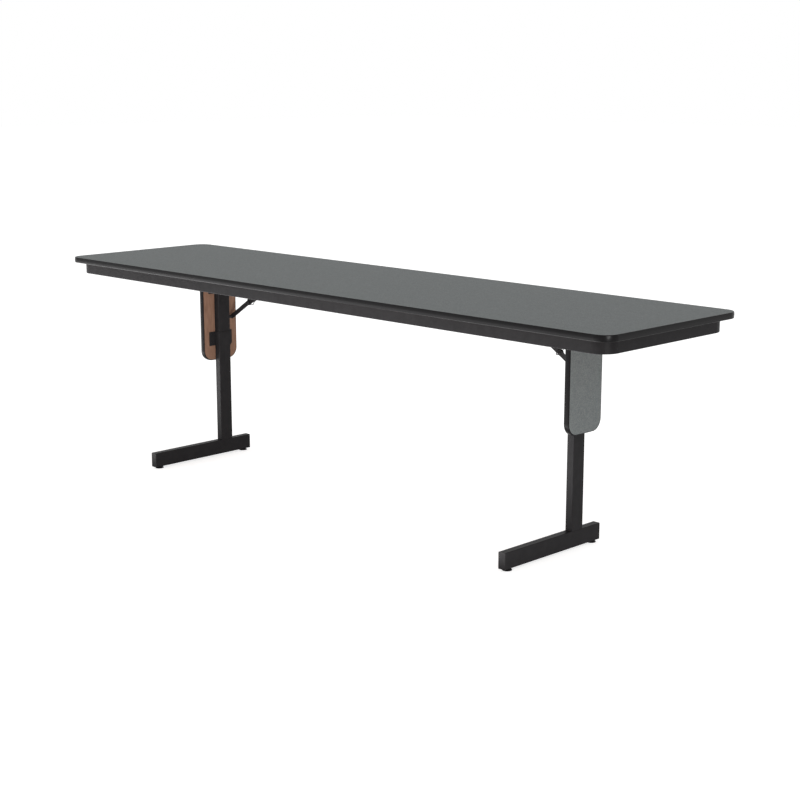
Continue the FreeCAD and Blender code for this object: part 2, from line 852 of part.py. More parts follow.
def brace_pins():
    """Stud on the stem, the two halves of the knee rivet, and the pin in the bracket."""
    pin = size("brace_pin_radius")
    head = size("brace_pin_head_height")
    head_radius = size("brace_pin_head_radius")
    ear = size("bracket_sheet")
    pin_stack("left_brace_stud", leg_pivot, [
        ("spacer", stem_rear, lower_front - fit, size("brace_stud_radius")),
        ("shank", lower_front - fit, lower_rear, pin),
    ])
    pin_stack("left_knee_rivet_front", knee, [
        ("head", lower_front - head, lower_front, head_radius),
        ("shank", lower_front, lower_rear, pin),
    ])
    pin_stack("left_knee_rivet_rear", knee, [
        ("shank", upper_front, upper_web, pin),
        ("head", upper_web, upper_web + head, head_radius),
    ])
    pin_stack("left_brace_bracket_pin", top_pivot, [
        ("front_head", lower_rear - ear - head, lower_rear - ear, head_radius),
        ("shank", lower_rear - ear, upper_web + fit, pin),
        ("rear_head", upper_web + fit, upper_web + fit + head, head_radius),
    ])


def brace_bracket():
    """Angle bracket under the top: flange towards the front, ear beside the upper link."""
    body = new_body("left_brace_bracket")
    metal = size("bracket_sheet")
    half = size("brace_bracket_width") / 2
    ear = size("brace_ear_radius")
    x, z = top_pivot

    def flange(sketch):
        rectangle(sketch, x - half, x + half, brace_flange_front, lower_rear)
        circles(sketch, brace_screw_places, size("screw_radius") + fit)

    pad(body, "flange", "XY_Plane", underside - metal, underside, flange)
    pad(body, "ear", "XZ_Plane", lower_rear - metal, lower_rear,
        lambda sketch: rectangle(sketch, x - ear, x + ear, z, underside))
    pad(body, "eye", "XZ_Plane", lower_rear - metal, lower_rear,
        lambda sketch: circles(sketch, [top_pivot], ear))
    pocket(body, "pin_hole", "XZ_Plane", lower_rear - metal - overrun, lower_rear + overrun,
           lambda sketch: circles(sketch, [top_pivot], size("brace_pin_radius") + fit))


def lock_ring():
    """Wire ring hung on the upper link, round both links past the knee: it slides off to free the knee."""
    ring = doc.addObject("Part::Torus", "left_brace_lock_ring")
    nodes["left_brace_lock_ring"] = ring
    along = size("ring_rest")
    sag = size("ring_sag")
    half_flange = (upper_rear - upper_front) / 2
    bore = root_of_squares(half_flange, size("upper_link_depth") / 2 + sag) + size("ring_seat_gap")
    bind(ring, "Radius1", bore + size("ring_wire_radius"))
    bind(ring, "Radius2", size("ring_wire_radius"))
    turn(ring, FreeCAD.Vector(0, 1, 0), slope(brace_run, brace_rise))
    x = knee[0] + along * run_share + sag * rise_share
    z = knee[1] + along * rise_share - sag * run_share
    move(ring, x, upper_front + half_flange, z)


# The right end is the left one mirrored


def mirror_left():
    """Make the right-hand twin of every left-hand piece."""
    for label in [label for label in nodes if label.startswith("left_")]:
        twin = doc.addObject("Part::Mirroring", label.replace("left_", "right_"))
        twin.Source = nodes[label]
        twin.Normal = FreeCAD.Vector(1, 0, 0)
        nodes[twin.Name] = twin
    doc.recompute()


def write_parts():
    """Check every object and write each piece to its own file."""
    for item in doc.Objects:
        if "Invalid" in item.State or "Error" in item.State:
            raise RuntimeError(f"{item.Name} failed: {item.State}")
    for label, item in nodes.items():
        if item.Shape.isNull() or not item.Shape.isValid():
            raise RuntimeError(f"{label} has no valid shape")
    os.makedirs("parts", exist_ok=True)
    for label, item in nodes.items():
        item.Label = label
        item.Shape.exportStep(os.path.join("parts", f"{label}.step"))


worktop()
apron()
board_screws("apron_screws", apron_screw_places, size("apron_sheet"))
hinge_bracket("left_hinge_bracket_front", bracket_front, 1)
hinge_bracket("left_hinge_bracket_rear", bracket_rear, -1)
board_screws("left_hinge_bracket_screws", hinge_screw_places, size("bracket_sheet"))
pivot_tube()
pivot_tube_caps()
stem()
foot()
foot_end_caps()
glide_nuts()
glide("left_glide_front", glide_places[0])
glide("left_glide_rear", glide_places[1])
leg_panel()
strap("left_panel_strap_lower", lower_strap_middle)
strap("left_panel_strap_upper", upper_strap_middle)
strap_screws()
brace_bracket()
board_screws("left_brace_bracket_screws", brace_screw_places, size("bracket_sheet"))
lower_link()
upper_link()
brace_pins()
lock_ring()
doc.recompute()
mirror_left()
write_parts()
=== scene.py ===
"""Folding training table with a speckled laminate top, dark edge band, steel apron and offset panel legs."""

import math

import bmesh
import bpy
from mathutils import Matrix, Vector


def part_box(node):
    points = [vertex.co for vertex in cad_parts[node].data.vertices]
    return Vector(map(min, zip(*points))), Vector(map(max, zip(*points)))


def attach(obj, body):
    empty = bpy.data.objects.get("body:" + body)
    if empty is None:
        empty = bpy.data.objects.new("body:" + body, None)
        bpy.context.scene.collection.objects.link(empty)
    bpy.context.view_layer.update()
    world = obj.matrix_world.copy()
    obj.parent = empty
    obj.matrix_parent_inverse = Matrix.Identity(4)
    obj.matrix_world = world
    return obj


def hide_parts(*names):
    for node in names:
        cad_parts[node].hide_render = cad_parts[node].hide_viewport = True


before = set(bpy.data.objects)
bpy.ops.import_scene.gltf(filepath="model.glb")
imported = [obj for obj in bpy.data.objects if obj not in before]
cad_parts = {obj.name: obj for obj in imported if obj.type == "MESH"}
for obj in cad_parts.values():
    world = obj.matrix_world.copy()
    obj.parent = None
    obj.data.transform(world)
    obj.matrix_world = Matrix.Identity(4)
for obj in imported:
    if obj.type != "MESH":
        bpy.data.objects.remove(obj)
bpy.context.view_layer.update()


# Worktop surface. A high-pressure laminate sheet bonded to the board: mid-grey print of fine stone-like
# chips under a matt wear layer with a faint pebble texture. The leg panels are faced with the same sheet.

CHIPS_PER_METRE = 400
CHIP_GREYS = (
    (0.0, (88, 92, 92)), (0.35, (101, 105, 105)), (0.65, (108, 112, 112)), (1.0, (124, 128, 127)),
)
FLECKS_PER_METRE = 900
FLECK_GREYS = ((0.0, (77, 81, 81)), (0.5, (104, 108, 108)), (1.0, (133, 137, 136)))
FLECK_SHARE = 0.4
CLOUDS_PER_METRE = 60
CLOUD_GREYS = ((0.35, (247, 247, 247)), (0.65, (255, 255, 255)))
PEBBLES_PER_METRE = 900
PEBBLE_DEPTH = 0.00012
PEBBLE_STRENGTH = 0.35
LAMINATE_ROUGHNESS = (0.5, 0.62)
LAMINATE_SPECULAR = 0.05


def srgb(red, green, blue):
    """A colour given as it looks on screen, 0 to 255, as linear light."""
    def linear(level):
        level = level / 255
        return level / 12.92 if level <= 0.04045 else ((level + 0.055) / 1.055) ** 2.4
    return (linear(red), linear(green), linear(blue), 1.0)


def new_finish(name, specular):
    """A material with its shader's specular level set; returns it, its node tree and its shader."""
    material = bpy.data.materials.new(name)
    material.use_nodes = True
    tree = material.node_tree
    shader = tree.nodes["Principled BSDF"]
    shader.inputs["Specular IOR Level"].default_value = specular
    return material, tree, shader


def place(tree, crowding=(1, 1, 1)):
    """The surface point in metres in the table's own frame, with features crowded or drawn out by axis."""
    coords = tree.nodes.new("ShaderNodeTexCoord")
    mapping = tree.nodes.new("ShaderNodeMapping")
    mapping.inputs["Scale"].default_value = crowding
    tree.links.new(coords.outputs["Object"], mapping.inputs["Vector"])
    return mapping.outputs["Vector"]


def noise(tree, where, per_metre, detail=2.0, rough=0.5):
    """Cloudy noise with so many features to a metre."""
    made = tree.nodes.new("ShaderNodeTexNoise")
    made.inputs["Scale"].default_value = per_metre
    made.inputs["Detail"].default_value = detail
    made.inputs["Roughness"].default_value = rough
    tree.links.new(where, made.inputs["Vector"])
    return made.outputs["Fac"]


def chips(tree, where, per_metre):
    """Random levels in so many cells to a metre."""
    made = tree.nodes.new("ShaderNodeTexVoronoi")
    made.inputs["Scale"].default_value = per_metre
    tree.links.new(where, made.inputs["Vector"])
    return made.outputs["Color"]


def ramp(tree, value, stops):
    """Turn a value into colours, each given with its place and as it looks on screen."""
    made = tree.nodes.new("ShaderNodeValToRGB")
    elements = made.color_ramp.elements
    while len(elements) < len(stops):
        elements.new(0.5)
    for element, (position, colour) in zip(elements, stops):
        element.position = position
        element.color = srgb(*colour)
    tree.links.new(value, made.inputs["Fac"])
    return made.outputs["Color"]


def mix(tree, how, share, first, second):
    """Blend two colours in one of Blender's ways; inputs 6 and 7 are the colours, output 2 the result."""
    made = tree.nodes.new("ShaderNodeMix")
    made.data_type = "RGBA"
    made.blend_type = how
    made.inputs["Factor"].default_value = share
    tree.links.new(first, made.inputs[6])
    tree.links.new(second, made.inputs[7])
    return made.outputs[2]


def relief(tree, shader, value, depth, strength):
    """Raise the surface by a value, to a depth in metres."""
    made = tree.nodes.new("ShaderNodeBump")
    made.inputs["Distance"].default_value = depth
    made.inputs["Strength"].default_value = strength
    tree.links.new(value, made.inputs["Height"])
    tree.links.new(made.outputs["Normal"], shader.inputs["Normal"])


def roughen(tree, shader, value, levels):
    """Let roughness wander between two levels."""
    made = tree.nodes.new("ShaderNodeMapRange")
    made.inputs["To Min"].default_value, made.inputs["To Max"].default_value = levels
    tree.links.new(value, made.inputs["Value"])
    tree.links.new(made.outputs["Result"], shader.inputs["Roughness"])


def dress(material, *names):
    """Give CAD nodes a finish."""
    for name in names:
        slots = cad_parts[name].data.materials
        slots.clear()
        slots.append(material)


def speckled_laminate():
    """Printed chips of two sizes, faintly clouded, under a pebbled wear layer."""
    material, tree, shader = new_finish("speckled_laminate", LAMINATE_SPECULAR)
    where = place(tree)
    chip_colour = ramp(tree, chips(tree, where, CHIPS_PER_METRE), CHIP_GREYS)
    fleck_colour = ramp(tree, chips(tree, where, FLECKS_PER_METRE), FLECK_GREYS)
    print_colour = mix(tree, "MIX", FLECK_SHARE, chip_colour, fleck_colour)
    cloud = ramp(tree, noise(tree, where, CLOUDS_PER_METRE, detail=3), CLOUD_GREYS)
    tree.links.new(mix(tree, "MULTIPLY", 1.0, print_colour, cloud), shader.inputs["Base Color"])
    pebble = noise(tree, where, PEBBLES_PER_METRE)
    roughen(tree, shader, pebble, LAMINATE_ROUGHNESS)
    relief(tree, shader, pebble, PEBBLE_DEPTH, PEBBLE_STRENGTH)
    return material


dress(speckled_laminate(), "top_laminate", "left_panel_laminate", "right_panel_laminate")


# Board core and balance sheet. Particle board of pressed wood chips, closed below by a brown
# resin-soaked kraft sheet whose fibres run along the board; it shows on the inside of each leg panel.

WOOD_CHIPS_PER_METRE = 260
WOOD_CHIP_CROWDING = (1, 1, 3)
WOOD_BROWNS = ((0.0, (120, 92, 60)), (0.5, (172, 138, 98)), (1.0, (208, 180, 138)))
WOOD_PITS_PER_METRE = 320
WOOD_PIT_DEPTH = 0.0004
WOOD_PIT_STRENGTH = 0.6
WOOD_ROUGHNESS = 0.85
WOOD_SPECULAR = 0.2
FIBRES_PER_METRE = 160
FIBRE_DRAW_SHARE = 0.12
FIBRE_BROWNS = ((0.25, (107, 80, 66)), (0.5, (120, 92, 76)), (0.75, (131, 102, 85)))
BLOTCHES_PER_METRE = 16
BLOTCH_TONES = ((0.3, (240, 238, 236)), (0.7, (255, 255, 255)))
KRAFT_SHEEN_PER_METRE = 240
KRAFT_ROUGHNESS = (0.52, 0.68)
KRAFT_SPECULAR = 0.15
KRAFT_NAP_PER_METRE = 420
KRAFT_NAP_DEPTH = 0.0001
KRAFT_NAP_STRENGTH = 0.4


def pressed_chips():
    """Flat chips of pale and dark wood with a pitted face."""
    material, tree, shader = new_finish("pressed_chips", WOOD_SPECULAR)
    shader.inputs["Roughness"].default_value = WOOD_ROUGHNESS
    where = place(tree, WOOD_CHIP_CROWDING)
    colour = ramp(tree, chips(tree, where, WOOD_CHIPS_PER_METRE), WOOD_BROWNS)
    tree.links.new(colour, shader.inputs["Base Color"])
    relief(tree, shader, noise(tree, where, WOOD_PITS_PER_METRE), WOOD_PIT_DEPTH, WOOD_PIT_STRENGTH)
    return material


def kraft_backer(name, crowding):
    """Brown fibres drawn out along one axis, with soft blotches of resin."""
    material, tree, shader = new_finish(name, KRAFT_SPECULAR)
    where = place(tree, crowding)
    fibres = ramp(tree, noise(tree, where, FIBRES_PER_METRE, detail=5, rough=0.65), FIBRE_BROWNS)
    blotches = ramp(tree, noise(tree, place(tree), BLOTCHES_PER_METRE, detail=3), BLOTCH_TONES)
    tree.links.new(mix(tree, "MULTIPLY", 1.0, fibres, blotches), shader.inputs["Base Color"])
    roughen(tree, shader, noise(tree, where, KRAFT_SHEEN_PER_METRE), KRAFT_ROUGHNESS)
    nap = noise(tree, where, KRAFT_NAP_PER_METRE, detail=4)
    relief(tree, shader, nap, KRAFT_NAP_DEPTH, KRAFT_NAP_STRENGTH)
    return material


dress(pressed_chips(), "top_core", "left_panel_core", "right_panel_core")
dress(kraft_backer("kraft_backer_lengthways", (FIBRE_DRAW_SHARE, 1, 1)), "top_backer")
upright_kraft = kraft_backer("kraft_backer_upright", (1, 1, FIBRE_DRAW_SHARE))
dress(upright_kraft, "left_panel_backer", "right_panel_backer")


# Edge band. Extruded black vinyl T-mould, knocked into the groove round each board with its barbed
# tongue: satin, with faint level lines from drawing, and a little duller round the leg panels.

VINYL_BLACKS = ((0.3, (11, 10, 11)), (0.7, (15, 14, 15)))
VINYL_LINES_PER_METRE = 40
VINYL_LINE_CROWDING = (1, 1, 40)
VINYL_ROUGHNESS = (0.26, 0.34)
VINYL_GRAINS_PER_METRE = 700
VINYL_GRAIN_DEPTH = 0.00006
VINYL_GRAIN_STRENGTH = 0.3
TOP_BAND_SPECULAR = 0.1
PANEL_BAND_SPECULAR = 0.05


def extruded_vinyl(name, specular):
    """Black vinyl, drawn in fine lines."""
    material, tree, shader = new_finish(name, specular)
    lines = noise(tree, place(tree, VINYL_LINE_CROWDING), VINYL_LINES_PER_METRE, detail=3)
    tree.links.new(ramp(tree, lines, VINYL_BLACKS), shader.inputs["Base Color"])
    roughen(tree, shader, lines, VINYL_ROUGHNESS)
    grain = noise(tree, place(tree), VINYL_GRAINS_PER_METRE)
    relief(tree, shader, grain, VINYL_GRAIN_DEPTH, VINYL_GRAIN_STRENGTH)
    return material


dress(extruded_vinyl("extruded_vinyl", TOP_BAND_SPECULAR), "top_edge_band")
dull_vinyl = extruded_vinyl("dull_vinyl", PANEL_BAND_SPECULAR)
dress(dull_vinyl, "left_panel_edge_band", "right_panel_edge_band")


# Apron. One strip of sheet steel bent to a rail with a flange and a hem, rolled round the corners,
# welded at the ends and powder-coated satin black, with the coat's fine orange peel.

COAT_BLACKS = ((0.3, (30, 29, 30)), (0.7, (35, 34, 35)))
COAT_PATCHES_PER_METRE = 45
COAT_DULL_SPOTS_PER_METRE = 90
COAT_ROUGHNESS = (0.36, 0.44)
COAT_SPECULAR = 0.05
PEEL_PER_METRE = 520
PEEL_DEPTH = 0.00012
PEEL_STRENGTH = 0.35


def powder_coat():
    """Black coat, a little uneven in tone and sheen, over fine orange peel."""
    material, tree, shader = new_finish("black_powder_coat", COAT_SPECULAR)
    where = place(tree)
    colour = ramp(tree, noise(tree, where, COAT_PATCHES_PER_METRE, detail=4), COAT_BLACKS)
    tree.links.new(colour, shader.inputs["Base Color"])
    roughen(tree, shader, noise(tree, where, COAT_DULL_SPOTS_PER_METRE, detail=3), COAT_ROUGHNESS)
    relief(tree, shader, noise(tree, where, PEEL_PER_METRE), PEEL_DEPTH, PEEL_STRENGTH)
    return material


coat = powder_coat()
dress(coat, "apron")


# Wood screws under the top. Pan heads, cold-headed and punched with a cross recess, zinc plated;
# they hold the apron's flange and the brackets to the board from below.

SIDES = ("left", "right")
ZINC_GREYS = ((0.25, (112, 114, 118)), (0.55, (140, 142, 145)), (0.8, (166, 167, 168)))
ZINC_PATCHES_PER_METRE = 380
ZINC_DULL_SPOTS_PER_METRE = 900
ZINC_ROUGHNESS = (0.28, 0.44)
ZINC_SPECULAR = 0.5
ZINC_GRAINS_PER_METRE = 1400
ZINC_GRAIN_DEPTH = 0.00004
ZINC_GRAIN_STRENGTH = 0.3
SAME_POINT_GAP = 1e-6
TURNED_STEPS = 28
SHARP_DEGREES = 35
# The shank's share of the head's radius, and the point's outline in shares of shank radius and length.
SHANK_SHARE = 0.52
SCREW_POINT_SHARES = ((0, 0), (0.5, 0.1), (1, 0.3))
# The head's height as a share of its radius, and its outline in shares of both, down from the top.
PAN_HEIGHT_SHARE = 0.55
PAN_HEAD_SHARES = ((1, 1), (1, 0.72), (0.93, 0.4), (0.76, 0.13), (0.62, 0))
CROSS_WIDTH_SHARE = 0.12
CROSS_TAPER_SHARE = 0.55
PAN_CROSS_REACH_SHARE = 0.46
PAN_CROSS_DEPTH_SHARE = 0.4


def zinc_plate():
    """Bright plating with a cloudy, faintly grained face."""
    material, tree, shader = new_finish("zinc_plate", ZINC_SPECULAR)
    shader.inputs["Metallic"].default_value = 1.0
    where = place(tree)
    colour = ramp(tree, noise(tree, where, ZINC_PATCHES_PER_METRE, detail=4), ZINC_GREYS)
    tree.links.new(colour, shader.inputs["Base Color"])
    roughen(tree, shader, noise(tree, where, ZINC_DULL_SPOTS_PER_METRE), ZINC_ROUGHNESS)
    relief(tree, shader, noise(tree, where, ZINC_GRAINS_PER_METRE), ZINC_GRAIN_DEPTH, ZINC_GRAIN_STRENGTH)
    return material


def solids_of(name):
    """Lowest and highest corner of each separate solid in a CAD node, in order of place."""
    mesh = bmesh.new()
    mesh.from_mesh(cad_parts[name].data)
    bmesh.ops.remove_doubles(mesh, verts=mesh.verts, dist=SAME_POINT_GAP)
    boxes = []
    waiting = set(mesh.verts)
    while waiting:
        stack = [waiting.pop()]
        points = []
        while stack:
            vert = stack.pop()
            points.append(vert.co.copy())
            near = {edge.other_vert(vert) for edge in vert.link_edges} & waiting
            waiting -= near
            stack.extend(near)
        boxes.append((Vector(map(min, *points)), Vector(map(max, *points))))
    mesh.free()
    return sorted(boxes, key=lambda box: tuple(box[0]))


def turned(mesh, profile, where, steps=TURNED_STEPS):
    """Add a shape turned from (radius, height) points about the Z axis of a matrix."""
    rings = []
    for radius, height in profile:
        if radius == 0:
            rings.append([mesh.verts.new(where @ Vector((0, 0, height)))])
            continue
        angles = [2 * math.pi * step / steps for step in range(steps)]
        rings.append([mesh.verts.new(where @ Vector((radius * math.cos(a), radius * math.sin(a), height)))
                      for a in angles])
    for lower, upper in zip(rings, rings[1:]):
        for step in range(steps):
            after = (step + 1) % steps
            corners = [lower[step % len(lower)], lower[after % len(lower)],
                       upper[after % len(upper)], upper[step % len(upper)]]
            mesh.faces.new(list(dict.fromkeys(corners)))
    return rings


def cross_recess(mesh, rim, where, reach, width, height, depth):
    """Close a head's rim with a face that has a tapered cross punched into it."""
    outline = []
    for quarter in range(4):
        turn = Matrix.Rotation(quarter * math.pi / 2, 4, "Z")
        arm = ((width, width, 0), (width, reach, 0), (-width, reach, 0))
        outline += [turn @ Vector(point) for point in arm]
    levels = []
    for scale, level in ((1, height), (CROSS_TAPER_SHARE, height - depth)):
        levels.append([mesh.verts.new(where @ Vector((p.x * scale, p.y * scale, level))) for p in outline])
    mouth, floor = levels
    edges = [mesh.edges.get((a, b)) or mesh.edges.new((a, b)) for a, b in zip(rim, rim[1:] + rim[:1])]
    edges += [mesh.edges.new((a, b)) for a, b in zip(mouth, mouth[1:] + mouth[:1])]
    bmesh.ops.triangle_fill(mesh, edges=edges, use_beauty=True)
    for step in range(len(outline)):
        after = (step + 1) % len(outline)
        mesh.faces.new((mouth[step], mouth[after], floor[after], floor[step]))
    mesh.faces.new(floor)


def new_piece(name, mesh, material, body, sharp_degrees=SHARP_DEGREES):
    """Turn a bmesh into a smooth-shaded piece that rides on a body."""
    bmesh.ops.recalc_face_normals(mesh, faces=mesh.faces)
    data = bpy.data.meshes.new(name)
    mesh.to_mesh(data)
    mesh.free()
    data.materials.append(material)
    piece = bpy.data.objects.new(name, data)
    bpy.context.scene.collection.objects.link(piece)
    for face in data.polygons:
        face.use_smooth = True
    data.set_sharp_from_angle(angle=math.radians(sharp_degrees))
    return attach(piece, body)


def pan_screws(name, body):
    """Screws with domed heads in place of the plain ones of a CAD node, pointing up."""
    mesh = bmesh.new()
    for low, high in solids_of(name):
        radius = (high.x - low.x) / 2
        shank = SHANK_SHARE * radius
        head = PAN_HEIGHT_SHARE * radius
        length = high.z - low.z
        tip = Matrix.Translation(((low.x + high.x) / 2, (low.y + high.y) / 2, high.z))
        where = tip @ Matrix.Rotation(math.pi, 4, "X")
        profile = [(shank * across, length * along) for across, along in SCREW_POINT_SHARES]
        profile.append((shank, length - head))
        profile += [(radius * across, length - head * down) for across, down in PAN_HEAD_SHARES]
        rings = turned(mesh, profile, where)
        cross_recess(mesh, rings[-1], where, PAN_CROSS_REACH_SHARE * radius, CROSS_WIDTH_SHARE * radius,
                     length, PAN_CROSS_DEPTH_SHARE * head)
    piece = new_piece(f"{name}_pan_head", mesh, zinc, body)
    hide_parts(name)


zinc = zinc_plate()
pan_screws("apron_screws", "tabletop")
for side in SIDES:
    pan_screws(f"{side}_hinge_bracket_screws", "tabletop")
    pan_screws(f"{side}_brace_bracket_screws", "tabletop")


# Hinge brackets. Angle brackets stamped from plate with a bored ear, screwed under the top in pairs;
# each leg's pivot tube turns in its pair, kept there by a plastic cap in each end.

PLASTIC_BLACKS = ((0.3, (33, 32, 33)), (0.7, (38, 37, 38)))
PLASTIC_PATCHES_PER_METRE = 60
PLASTIC_GRAINS_PER_METRE = 1100
PLASTIC_GRAIN_DEPTH = 0.00008
PLASTIC_GRAIN_STRENGTH = 0.4
PLASTIC_ROUGHNESS = (0.45, 0.6)
PLASTIC_SPECULAR = 0.06


def moulded_plastic():
    """Black plastic with the fine grain of its mould."""
    material, tree, shader = new_finish("moulded_plastic", PLASTIC_SPECULAR)
    where = place(tree)
    colour = ramp(tree, noise(tree, where, PLASTIC_PATCHES_PER_METRE, detail=3), PLASTIC_BLACKS)
    tree.links.new(colour, shader.inputs["Base Color"])
    grain = noise(tree, where, PLASTIC_GRAINS_PER_METRE, detail=3)
    roughen(tree, shader, grain, PLASTIC_ROUGHNESS)
    relief(tree, shader, grain, PLASTIC_GRAIN_DEPTH, PLASTIC_GRAIN_STRENGTH)
    return material


plastic = moulded_plastic()
for side in SIDES:
    dress(coat, f"{side}_hinge_bracket_front", f"{side}_hinge_bracket_rear", f"{side}_pivot_tube")
    dress(plastic, f"{side}_pivot_tube_caps")


# Leg. Rectangular steel tube: an upright stem coped to the pivot tube and welded to a foot of the
# same tube laid flat, with short weld beads across the front and rear of each joint, then powder-coated.

BEAD_RADIUS = 0.0022
BEAD_ROUND_STEPS = 3
BEAD_END_SHARE = 0.45
BEAD_END_KNOTS = 4
PUDDLE_KNOTS = 4
PUDDLE_WAIST_SHARE = 0.86
FOOT_WELD_CORNER_GAP = 0.004
FOOT_WELD_STEPS = 12
PIVOT_WELD_STEPS = 14
PIVOT_WELD_STEP_DEGREES = 5


def weld_bead(name, points, body):
    """A run of weld: overlapping puddles along a line, thinner at its ends."""
    curve = bpy.data.curves.new(name, "CURVE")
    curve.dimensions = "3D"
    curve.bevel_depth = BEAD_RADIUS
    curve.bevel_resolution = BEAD_ROUND_STEPS
    curve.use_fill_caps = True
    spline = curve.splines.new("POLY")
    spline.points.add(len(points) - 1)
    for index, (point, knot) in enumerate(zip(points, spline.points)):
        knot.co = (*point, 1)
        from_end = min(index, len(points) - 1 - index) / BEAD_END_KNOTS
        puddle = 1 if index % PUDDLE_KNOTS < PUDDLE_KNOTS / 2 else PUDDLE_WAIST_SHARE
        knot.radius = min(1, BEAD_END_SHARE + from_end) * puddle
    curve.materials.append(coat)
    bead = bpy.data.objects.new(name, curve)
    bpy.context.scene.collection.objects.link(bead)
    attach(bead, body)


for side in SIDES:
    dress(coat, f"{side}_leg_stem", f"{side}_leg_foot")
    stem_low, stem_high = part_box(f"{side}_leg_stem")
    tube_low, tube_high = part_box(f"{side}_pivot_tube")
    middle = (stem_low.x + stem_high.x) / 2
    half_flat = (stem_high.x - stem_low.x) / 2 - FOOT_WELD_CORNER_GAP
    tube_radius = (tube_high.z - tube_low.z) / 2
    for face, y in (("front", stem_low.y), ("rear", stem_high.y)):
        across = [(middle + half_flat * step / FOOT_WELD_STEPS, y, stem_low.z)
                  for step in range(-FOOT_WELD_STEPS, FOOT_WELD_STEPS + 1)]
        weld_bead(f"{side}_foot_weld_{face}", across, f"{side}_leg")
        around = []
        for step in range(-PIVOT_WELD_STEPS, PIVOT_WELD_STEPS + 1):
            angle = math.radians(PIVOT_WELD_STEP_DEGREES * step)
            around.append((middle + tube_radius * math.sin(angle), y,
                           tube_low.z + tube_radius * (1 - math.cos(angle))))
        weld_bead(f"{side}_pivot_weld_{face}", around, f"{side}_leg")


# Foot fittings. Moulded caps pushed into the foot's open ends, nuts welded inside it over the glide
# holes, and screw-in levelling glides: a round moulded sole on a threaded steel stud.

CAP_EDGE = 0.0008
CAP_EDGE_STEPS = 2
CAP_EDGE_DEGREES = 50
STUD_RADIUS = 0.0040
STUD_STEPS = 20
STUD_START_SHARE = 0.9
THREAD_PITCH = 0.00125
THREAD_ROWS_PER_TURN = 6
THREAD_ROOT_SHARE = 0.86
THREAD_FLANK_RISE = 1.5
SOLE_STEPS = 40
# The sole's outline in shares of its radius and its height up to the foot, the neck's of its own radius.
SOLE_NECK_SHARE = 0.52
SOLE_PAD_SHARES = (
    (0, 0.06), (0.72, 0.06), (0.78, 0), (0.9, 0), (0.97, 0.03), (1, 0.1), (1, 0.36), (0.97, 0.41),
    (0.92, 0.44), (0.66, 0.7),
)
SOLE_NECK_SHARES = ((1, 0.77), (1, 0.97), (0.94, 1), (0, 1))


def soften(name):
    """Break the sharp edges of a CAD node's caps, as moulding does."""
    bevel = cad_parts[name].modifiers.new("broken_edges", "BEVEL")
    bevel.width = CAP_EDGE
    bevel.segments = CAP_EDGE_STEPS
    bevel.limit_method = "ANGLE"
    bevel.angle_limit = math.radians(CAP_EDGE_DEGREES)
    bevel.use_clamp_overlap = True


def threaded_stud(mesh, where, low, high):
    """A stud with a real helical thread from one height to another."""
    root = THREAD_ROOT_SHARE * STUD_RADIUS
    rows = int((high - low) / THREAD_PITCH * THREAD_ROWS_PER_TURN)
    rings = []
    for row in range(rows + 1):
        height = low + row * THREAD_PITCH / THREAD_ROWS_PER_TURN
        ring = []
        for step in range(STUD_STEPS):
            turn = row / THREAD_ROWS_PER_TURN - step / STUD_STEPS
            crest = 1 - abs(2 * (turn % 1) - 1)
            reach = root + (STUD_RADIUS - root) * min(1, THREAD_FLANK_RISE * crest)
            angle = 2 * math.pi * step / STUD_STEPS
            point = Vector((reach * math.cos(angle), reach * math.sin(angle), height))
            ring.append(mesh.verts.new(where @ point))
        rings.append(ring)
    for lower, upper in zip(rings, rings[1:]):
        for step in range(STUD_STEPS):
            after = (step + 1) % STUD_STEPS
            mesh.faces.new((lower[step], lower[after], upper[after], upper[step]))
    mesh.faces.new(rings[0])
    mesh.faces.new(rings[-1])


def glide(name, foot_bottom):
    """One glide: sole and stud as two pieces in place of its CAD node."""
    low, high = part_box(name)
    radius = (high.x - low.x) / 2
    neck = SOLE_NECK_SHARE * radius
    shoulder = foot_bottom - low.z
    where = Matrix.Translation(((low.x + high.x) / 2, (low.y + high.y) / 2, low.z))
    profile = [(radius * across, shoulder * up) for across, up in SOLE_PAD_SHARES]
    profile += [(neck * across, shoulder * up) for across, up in SOLE_NECK_SHARES]
    sole = bmesh.new()
    turned(sole, profile, where, SOLE_STEPS)
    sole_piece = new_piece(f"{name}_sole", sole, plastic, name)
    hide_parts(name)
    stud = bmesh.new()
    threaded_stud(stud, where, STUD_START_SHARE * shoulder, high.z - low.z)
    stud_piece = new_piece(f"{name}_stud", stud, zinc, name)


for side in SIDES:
    dress(plastic, f"{side}_foot_end_caps")
    soften(f"{side}_foot_end_caps")
    dress(zinc, f"{side}_glide_nuts")
    foot_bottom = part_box(f"{side}_leg_foot")[0].z
    glide(f"{side}_glide_front", foot_bottom)
    glide(f"{side}_glide_rear", foot_bottom)


# Panel straps. Flat bar bent to a hat over the stem, held by flush countersunk screws through both
# flanges into the back of the leg panel; straps and screws are black like the leg.

# The countersink's depth and the head's outline in shares of the head's radius, down from its face.
FLAT_SINK_SHARE = 0.5
FLAT_HEAD_SHARES = ((0.98, 0.02), (0.96, 0))
FLAT_CROSS_REACH_SHARE = 0.5
FLAT_CROSS_DEPTH_SHARE = 0.3


